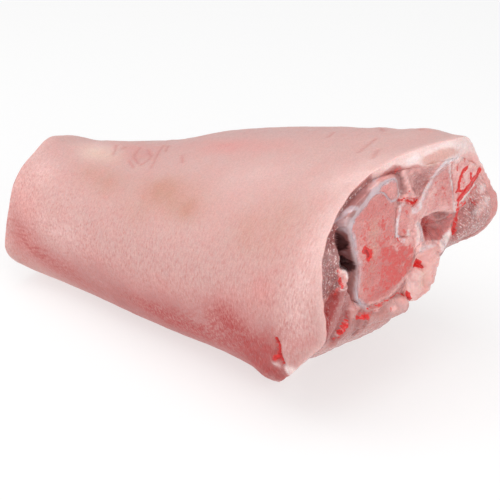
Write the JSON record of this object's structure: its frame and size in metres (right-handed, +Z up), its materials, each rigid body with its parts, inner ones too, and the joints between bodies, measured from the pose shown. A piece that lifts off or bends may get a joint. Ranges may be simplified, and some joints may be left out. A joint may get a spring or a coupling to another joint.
{
  "type": "pork hock",
  "caption": "Raw pork hock, rind on, lying on its side: tapered shank with fat, lean and the cut bones of the knee showing at the wide end.",
  "frame": {"origin": "on the table, under the middle of the hock's bounding box", "axes": "+X along the shank from the sawn foot end to the knee cut, +Z up, -Y towards the side seen in the picture"},
  "size_m": [0.201, 0.1194, 0.1164],
  "materials": {
    "rind": "pale pink raw skin, slightly moist, fine pores",
    "meat": "raw lean meat, moist",
    "bone": "sawn raw bone, spongy and moist",
    "gristle": "smooth moist gristle",
    "fat": "soft moist fat"
  },
  "bodies": {
    "root": {"outer_fat": "rind", "lean": "meat", "shin_bone": "bone", "calf_bone": "bone", "knee_bone": "bone", "shin_crest": "bone", "gristle": "gristle", "fat_lump": "fat"}
  },
  "joints": []
}
